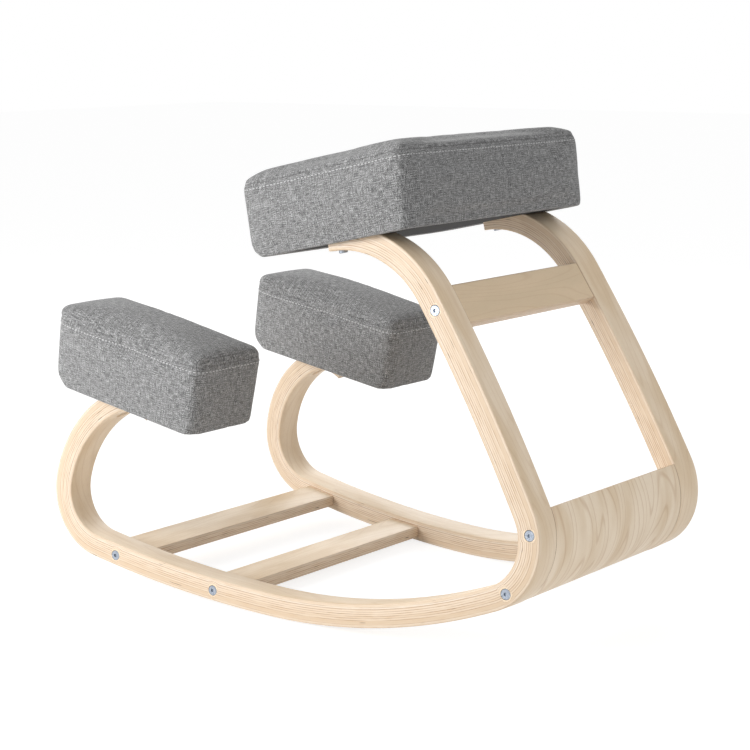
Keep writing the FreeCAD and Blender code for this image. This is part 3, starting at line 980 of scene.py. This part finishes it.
def stitch_tree():
    """Geometry Nodes that lay one thread stitch after another along a line."""
    tree, given = new_tree("Topstitching", {
        "Line": "Geometry", "Pitch": "Float", "Length": "Float", "Thread": "Float",
        "Material": "Material",
    })
    line = add(tree, "GeometryNodeMeshToCurve", {"Mesh": given["Line"]})
    spots = add(tree, "GeometryNodeCurveToPoints", {"Curve": line, "Length": given["Pitch"]}, mode="LENGTH")
    bead = add(tree, "GeometryNodeMeshUVSphere", {
        "Segments": bead_sides, "Rings": bead_rings, "Radius": 0.5,
    })
    size = add(tree, "ShaderNodeCombineXYZ", [given["Thread"], given["Thread"], given["Length"]])
    laid = add(tree, "GeometryNodeInstanceOnPoints", {
        "Points": spots, "Instance": bead, "Rotation": spots.outputs["Rotation"], "Scale": size,
    })
    return finish_tree(tree, laid, given["Material"])


def make_cushion(context, name, form):
    """One upholstered cushion with its topstitching, in place on the chair's left or middle."""
    sizes = context.scene.chair_sizes
    piece = inflated(name, cushion_block(form), sizes)
    row = sew(piece, form, sizes)
    line = stitch_line(piece, form, row - topstitch_drop)
    stitches = new_object(name + "_topstitch", run_tree(name + "_line", line, stitch_tree(), {
        "Pitch": sizes.stitch_pitch, "Length": sizes.stitch_length,
        "Thread": thread_width, "Material": sewing_thread(),
    }))
    moved = Matrix.Translation(Vector(form["place"]))
    where = STANDING @ moved @ Matrix.Rotation(math.radians(form["slope"]), 4, "X")
    for made in (piece, stitches):
        made.data.transform(where)
        made.data.update()
    stitches.data.shade_smooth()
    return piece, stitches


def press_clear(piece, name):
    """Push the cloth out of a side frame where its hem would sink into the wood."""
    tree = BVHTree.FromObject(bpy.data.objects[name], bpy.context.evaluated_depsgraph_get())
    for vertex in piece.data.vertices:
        spot, normal, _, _ = tree.find_nearest(vertex.co, press_reach)
        if spot is not None and (vertex.co - spot).dot(normal) < cloth_clearance:
            vertex.co = spot + normal * cloth_clearance
    piece.data.update()


class CHAIR_OT_seat_cushion(bpy.types.Operator):
    """Inflate, sew and stitch the seat cushion"""

    bl_idname = "chair.seat_cushion"
    bl_label = "Seat cushion"

    def execute(self, context):
        cloth = melange_cloth(context.scene.chair_colours)
        cushion, stitches = make_cushion(context, "seat_cushion", seat_form)
        for side in SIDES:
            press_clear(cushion, side + "_bent_frame")
        dress(cushion, cloth, "grey_fabric", "seat_cover", "seat_foam")
        dress(stitches, None, "grey_fabric")
        return {"FINISHED"}


class CHAIR_OT_knee_cushions(bpy.types.Operator):
    """Inflate, sew and stitch one knee cushion and mirror it to the other side"""

    bl_idname = "chair.knee_cushions"
    bl_label = "Knee cushions"

    def execute(self, context):
        cloth = melange_cloth(context.scene.chair_colours)
        cushion, stitches = make_cushion(context, "left_knee_cushion", knee_form)
        press_clear(cushion, "left_bent_frame")
        other = new_object("right_knee_cushion", mirrored(cushion.data))
        other_stitches = new_object("right_knee_cushion_topstitch", mirrored(stitches.data))
        for side, pad, thread in zip(SIDES, (cushion, other), (stitches, other_stitches)):
            dress(pad, cloth, "grey_fabric", side + "_knee_cover", side + "_knee_foam")
            dress(thread, None, "grey_fabric")
        return {"FINISHED"}


# Materials

def new_material(name):
    """A new material and its empty tree, or the one that is already made and no tree."""
    made = bpy.data.materials.get(name)
    if made:
        return made, None
    made = bpy.data.materials.new(name)
    made.use_nodes = True
    made.node_tree.nodes.clear()
    return made, made.node_tree


def birch_plywood(colours, name="Lacquered birch plywood", veneer=None, figure=plain_figure):
    """Birch plywood, bent or flat, sanded and matt lacquered. Its grain place is carried by every
    piece: along the fibres, across them and through the plies, so the plies follow each bend. The
    eye sees pale veneer faces with faint flat-sawn figure and cream edges with brown glue lines."""
    material, tree = new_material(name)
    if tree is None:
        return material
    grain = add(tree, "ShaderNodeAttribute", attribute_name="grain").outputs["Vector"]
    half = add(tree, "ShaderNodeAttribute", attribute_name="half").outputs["Fac"]
    meeting_shade = add(tree, "ShaderNodeAttribute", attribute_name="meeting_shade").outputs["Fac"]
    through = add(tree, "ShaderNodeSeparateXYZ", [grain]).outputs["Z"]
    smooth = {"interpolation_type": "SMOOTHSTEP"}
    raw = {}
    shown = {}
    for label, (sizes, detail, rough, distortion, fades) in ply_patterns.items():
        place = add(tree, VECTOR, [grain, [1 / (v * MM) for v in sizes]], operation="MULTIPLY")
        raw[label] = add(tree, NOISE, {
            "Vector": place, "Scale": 1.0, "Detail": detail, "Roughness": rough, "Distortion": distortion,
        })
        if fades:
            shown[label] = add(tree, RANGE, [raw[label], *fades], **smooth)

    # Plies: a slow waver, a tint for each ply, and a glue line of its own strength at each joint
    waver = add(tree, MATH, [raw["waver"], 2 * ply_waver, -ply_waver], operation="MULTIPLY_ADD")
    place = add(tree, MATH, [through, waver], operation="ADD")
    level = add(tree, MATH, [place, ply_thickness], operation="DIVIDE")
    number = add(tree, MATH, [level], operation="FLOOR")
    ply = add(tree, "ShaderNodeTexWhiteNoise", {"W": number}, noise_dimensions="1D")
    number = add(tree, MATH, [level], operation="ROUND")
    number = add(tree, MATH, [number, joint_seed], operation="ADD")
    joint = add(tree, "ShaderNodeTexWhiteNoise", {"W": number}, noise_dimensions="1D")
    near = add(tree, MATH, [level, 0.5], operation="PINGPONG")
    near = add(tree, MATH, [near, ply_thickness], operation="MULTIPLY")
    strength = add(tree, MATH, [joint, glue_contrast], operation="POWER")
    strength = add(tree, MATH, [strength, shown["broken line"]], operation="MULTIPLY")
    strength = add(tree, MATH, [strength, glue_most, glue_least], operation="MULTIPLY_ADD")
    line = add(tree, RANGE, [near, glue_half_width, glue_core], **smooth)
    line = add(tree, MATH, [line, strength], operation="MULTIPLY")

    # The resin-rich joint and the paler ply beside it
    heavy = add(tree, MATH, [place, heavy_joint], operation="ADD")
    away = add(tree, MATH, [heavy], operation="ABSOLUTE")
    seam = add(tree, RANGE, [away, glue_half_width, heavy_core], **smooth)
    seam = add(tree, MATH, [seam, heavy_strength], operation="MULTIPLY")
    line = add(tree, MATH, [line, seam], operation="MAXIMUM")
    away = add(tree, MATH, [heavy, pale_ply_middle], operation="ADD")
    away = add(tree, MATH, [away], operation="ABSOLUTE")
    pale = add(tree, RANGE, [away, *pale_fade], **smooth)
    # Open gaps beside some glue lines are painted dark brown: painted shade inside the voids between plies
    gap = add(tree, RANGE, [near, *gap_fade], **smooth)
    gap = add(tree, MATH, [gap, shown["gap"]], operation="MULTIPLY")

    # Face veneer: contours of the slow field are the flat-sawn figure, with fine pores over them
    contour = add(tree, MATH, [raw["figure"], figure_contours], operation="MULTIPLY")
    contour = add(tree, MATH, [contour, 0.5], operation="PINGPONG")
    contour = add(tree, RANGE, [contour, contour_width, 0.0], **smooth)

    # Colours laid over each other, each with its strength: on the edges, then on the faces
    edge_layers = (
        (ply, 1.0, "D9C2A6"), (pale, 0.6, "EBE0D0"), (shown["fibre"], 0.5, "CFAF88"),
        (line, 1.0, colours.glue), (gap, 1.0, "5E4026"),
    )
    face_layers = (
        (shown["patch"], 1.0, "E7CEAC"), (contour, figure, "C49C6C"),
        (shown["pores"], pore_strength, "CFAE83"),
    )
    blended = []
    for shade, layers in ((colours.ply_edge, edge_layers), (veneer or colours.veneer, face_layers)):
        colour = linear(shade)
        for layer, most, over in layers:
            share = add(tree, MATH, [layer, most], operation="MULTIPLY")
            mixed = add(tree, MIX, {0: share, 6: colour, 7: linear(over)}, data_type="RGBA")
            colour = mixed.outputs[2]
        blended.append(colour)

    # The veneer's skin ends at the edges, and a thin dark line of painted shade shows the gap where a board
    # meets a frame
    away = add(tree, MATH, [through], operation="ABSOLUTE")
    depth = add(tree, MATH, [half, away], operation="SUBTRACT")
    skin = add(tree, RANGE, [depth, veneer_skin + skin_fade, veneer_skin], **smooth)
    colour = add(tree, MIX, {0: skin, 6: blended[0], 7: blended[1]}, data_type="RGBA").outputs[2]
    share = add(tree, MATH, [meeting_shade, meeting_shade_strength], operation="MULTIPLY")
    colour = add(tree, MIX, {0: share, 6: colour, 7: linear("8A5A33")}, data_type="RGBA").outputs[2]
    height = add(tree, MATH, [raw["fibre"], fibre_height], operation="MULTIPLY")
    height = add(tree, MATH, [height, line], operation="SUBTRACT")
    bump = add(tree, "ShaderNodeBump", {"Strength": 0.25, "Distance": 0.15 * MM, "Height": height})
    rough = add(tree, MATH, [raw["fibre"], *lacquer_roughness], operation="MULTIPLY_ADD")
    shader = add(tree, "ShaderNodeBsdfPrincipled", {
        "Base Color": colour, "Roughness": rough, "IOR": 1.5, "Normal": bump,
        "Coat Weight": 0.12, "Coat Roughness": 0.35,
    })
    add(tree, "ShaderNodeOutputMaterial", {"Surface": shader})
    return material


def melange_cloth(colours):
    """Melange upholstery cloth, a plain weave of light and dark spun yarns. The eye sees short light
    and dark slubs that run both ways, and a dry, slightly hairy surface. The yarn is drawn at twice
    its real spacing, which is too fine to show."""
    material, tree = new_material("Melange upholstery cloth")
    if tree is None:
        return material
    uv = add(tree, "ShaderNodeUVMap", uv_map="cloth")
    seam = add(tree, "ShaderNodeAttribute", attribute_name="seam").outputs["Fac"]
    tones = {}
    for label, (x_mm, y_mm, shift) in yarns.items():
        scale = (1 / (x_mm * MM), 1 / (y_mm * MM), 1)
        place = add(tree, VECTOR, [uv, scale, (shift, shift, shift)], operation="MULTIPLY_ADD")
        tones[label] = add(tree, NOISE, {
            "Vector": place, "Scale": 1.0, "Detail": 2.0, "Roughness": 0.6,
        })
    weave = add(tree, "ShaderNodeTexChecker", {"Vector": uv, "Scale": 1 / (yarn_width * MM)})
    over = add(tree, MIX, {
        0: weave.outputs["Fac"], 2: tones["weft"], 3: tones["warp"],
    }, data_type="FLOAT")
    tone = add(tree, MATH, [over, *weave_tone], operation="MULTIPLY_ADD")
    tone = add(tree, MATH, [tones["speck"], speck_tone, tone], operation="MULTIPLY_ADD")
    colour = add(tree, "ShaderNodeValToRGB", [tone], stops=(
        (0.36, colours.cloth_dark), (0.48, "707070"), (0.56, "949494"), (0.66, colours.cloth_light),
    ))
    # Painted shade: the cloth darkens towards each seam, for the shade of its crease
    shade = add(tree, RANGE, [seam, *seam_shade])
    crease_shaded = add(tree, MIX, {0: 1.0, 6: colour, 7: shade}, data_type="RGBA", blend_type="MULTIPLY")
    bump = add(tree, "ShaderNodeBump", {"Strength": 0.6, "Distance": 0.5 * MM, "Height": tone})
    shader = add(tree, "ShaderNodeBsdfPrincipled", {
        "Base Color": crease_shaded.outputs[2], "Roughness": 0.92, "IOR": 1.46, "Normal": bump,
        "Sheen Weight": 0.15, "Sheen Roughness": 0.6,
    })
    add(tree, "ShaderNodeOutputMaterial", {"Surface": shader})
    return material


def plain_finish(name, low, high, scale_mm, roughness, metallic=0.0, bump_mm=0.05, stretch=(1, 1, 1)):
    """A finish with a noise between two colours, its size in millimetres, its middle roughness and
    a light bump, on the piece's own coordinates."""
    material, tree = new_material(name)
    if tree is None:
        return material
    place = add(tree, "ShaderNodeTexCoord").outputs["Object"]
    scale = [v / (scale_mm * MM) for v in stretch]
    place = add(tree, VECTOR, [place, scale], operation="MULTIPLY")
    field = add(tree, NOISE, {"Vector": place, "Scale": 1.0, "Detail": 3.0, "Roughness": 0.6})
    colour = add(tree, "ShaderNodeValToRGB", [field], stops=((0.35, low), (0.65, high)))
    bump = add(tree, "ShaderNodeBump", {"Strength": 0.5, "Distance": bump_mm * MM, "Height": field})
    rough = add(tree, MATH, [field, 0.2, roughness - 0.1], operation="MULTIPLY_ADD")
    shader = add(tree, "ShaderNodeBsdfPrincipled", {
        "Base Color": colour, "Roughness": rough, "Metallic": metallic, "Normal": bump,
    })
    add(tree, "ShaderNodeOutputMaterial", {"Surface": shader})
    return material


def sewing_thread():
    """Polyester thread, light grey: a dry twisted yarn that catches the light."""
    return plain_finish("Polyester sewing thread", "BEBEBE", "DEDEDE", 0.6, 0.7)


def zinc_plate(colours):
    """Bright zinc plate on cold-headed steel: cool grey metal with soft, slightly cloudy glints."""
    return plain_finish(
        "Bright zinc plate", "8C95A1", colours.zinc, 1.5, 0.32, metallic=1.0, bump_mm=0.02
    )


def inner_finishes(colours):
    """What the inner pieces are made of, by the end of their node's name. The eye sees matt black
    cloth, pale grainy foam, raw plywood and beech with their grain along x, and the bolts' zinc."""
    # The cover cloth is really black, and its near-black tone also serves as painted shade at its edge
    # under a cushion
    felt = plain_finish("Spunbonded black cover cloth", "0E0E0E", "1E1E1F", 0.8, 0.9, bump_mm=0.1)
    foam = plain_finish("Open-cell foam", "E6DFC6", "F1EBD6", 1.2, 0.95, bump_mm=0.3)
    board = plain_finish("Unfinished plywood board", "C9A878", "D9BD92", 6, 0.7, stretch=(0.1, 1, 1))
    beech = plain_finish("Turned beech dowel", "C59A6C", "D6B187", 2, 0.6, stretch=(0.15, 1, 1))
    zinc = zinc_plate(colours)
    return (
        ("dust_cover", felt), ("foam", foam), ("board", board), ("dowels", beech), ("bolts", zinc),
        ("washers", zinc), ("tee_nuts", zinc), ("barrel_nuts", zinc),
    )


class CHAIR_OT_hardware(bpy.types.Operator):
    """Finish the bolts, nuts, washers, dowels, boards, foam and dust covers as they are"""

    bl_idname = "chair.hardware"
    bl_label = "Hardware and inner pieces"

    def execute(self, context):
        finishes = inner_finishes(context.scene.chair_colours)
        for name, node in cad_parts.items():
            for ending, material in finishes:
                if name.endswith(ending):
                    node.data.materials.clear()
                    node.data.materials.append(material)
        return {"FINISHED"}


# Stage

def camera_matrix():
    """The camera's place on the drawn chair, carried with it onto the floor."""
    yaw = math.radians(camera_yaw)
    pitch = math.radians(camera_pitch)
    view = Vector((
        -math.cos(yaw) * math.cos(pitch),
        -math.sin(yaw) * math.cos(pitch),
        -math.sin(pitch),
    ))
    right = view.cross(UP).normalized()
    up = right.cross(view)
    roll = math.radians(camera_roll)
    turned = right * math.cos(roll) + up * math.sin(roll)
    up = up * math.cos(roll) - right * math.sin(roll)
    placed = Matrix((turned, up, -view)).transposed().to_4x4()
    placed.translation = camera_place
    return STANDING @ placed


def seen_directly(tree):
    """1 for rays from the camera, from gloss or through glass, which see the white background."""
    path = add(tree, "ShaderNodeLightPath").outputs
    rays = add(tree, MATH, [path["Is Camera Ray"], path["Is Glossy Ray"]], operation="MAXIMUM")
    return add(tree, MATH, [rays, path["Is Transmission Ray"]], operation="MAXIMUM")


def floor_material():
    """Matt white floor that the camera sees as white with the chair's soft shadow on it."""
    material, tree = new_material("Matt white floor")
    matt = add(tree, "ShaderNodeBsdfDiffuse", {"Color": linear("F2F2F2")})
    glow = add(tree, "ShaderNodeEmission", {"Color": white, "Strength": floor_glow})
    dim = add(tree, "ShaderNodeBsdfDiffuse", {"Color": (floor_shade, floor_shade, floor_shade, 1)})
    seen = add(tree, "ShaderNodeAddShader", [glow, dim])
    mixed = add(tree, "ShaderNodeMixShader", [seen_directly(tree), matt, seen])
    add(tree, "ShaderNodeOutputMaterial", {"Surface": mixed})
    return material


def white_world():
    """World that is white to the camera and to gloss, and a plain soft light on everything else."""
    world = bpy.data.worlds.new("Studio")
    world.use_nodes = True
    tree = world.node_tree
    tree.nodes.clear()
    soft = add(tree, "ShaderNodeBackground", {"Color": white, "Strength": world_strength})
    bright = add(tree, "ShaderNodeBackground", {"Color": white, "Strength": 1.0})
    mixed = add(tree, "ShaderNodeMixShader", [seen_directly(tree), soft, bright])
    add(tree, "ShaderNodeOutputWorld", {"Surface": mixed})
    return world


class CHAIR_OT_stage(bpy.types.Operator):
    """Set the floor, the soft lights and the camera at the photograph's viewing angle"""

    bl_idname = "chair.stage"
    bl_label = "Stage"

    def execute(self, context):
        scene = context.scene
        signs = ((-1, -1), (1, -1), (1, 1), (-1, 1))
        mesh = new_mesh("floor", [(floor_reach * x, floor_reach * y, 0) for x, y in signs], [(0, 1, 2, 3)])
        mesh.materials.append(floor_material())
        new_object("floor", mesh)
        scene.world = white_world()
        for name, (place, size, power) in lights.items():
            lamp = bpy.data.lights.new(name, "AREA")
            lamp.shape = "DISK"
            lamp.size = size
            lamp.energy = power
            made = new_object(name, lamp)
            made.location = place
            made.rotation_euler = (light_aim - place).to_track_quat("-Z", "Y").to_euler()
        lens = bpy.data.cameras.new("camera")
        lens.sensor_width = sensor
        lens.sensor_height = sensor
        lens.sensor_fit = "HORIZONTAL"
        lens.lens = sensor * focal_pixels / image_pixels
        camera = new_object("camera", lens)
        camera.matrix_world = camera_matrix()
        scene.camera = camera
        scene.view_settings.view_transform = "Standard"
        return {"FINISHED"}


class CHAIR_PT_panel(bpy.types.Panel):
    """Lists the chair's pieces in the sidebar"""

    bl_label = "Chair"
    bl_idname = "CHAIR_PT_panel"
    bl_space_type = "VIEW_3D"
    bl_region_type = "UI"
    bl_category = "Chair"

    def draw(self, context):
        layout = self.layout
        for group in (context.scene.chair_sizes, context.scene.chair_colours):
            for name in group.__annotations__:
                layout.prop(group, name)
        for operator in OPERATORS:
            layout.operator(operator.bl_idname)


OPERATORS = (
    CHAIR_OT_stage,
    CHAIR_OT_side_frames,
    CHAIR_OT_boards,
    CHAIR_OT_hardware,
    CHAIR_OT_seat_cushion,
    CHAIR_OT_knee_cushions,
)
CLASSES = (ChairSizes, ChairColours, *OPERATORS, CHAIR_PT_panel)


def register():
    for item in CLASSES:
        bpy.utils.register_class(item)
    bpy.types.Scene.chair_sizes = bpy.props.PointerProperty(type=ChairSizes)
    bpy.types.Scene.chair_colours = bpy.props.PointerProperty(type=ChairColours)


def unregister():
    del bpy.types.Scene.chair_colours
    del bpy.types.Scene.chair_sizes
    for item in reversed(CLASSES):
        bpy.utils.unregister_class(item)


def main():
    register()
    for operator in OPERATORS:
        group, name = operator.bl_idname.split(".")
        getattr(getattr(bpy.ops, group), name)()


if __name__ == "__main__":
    main()
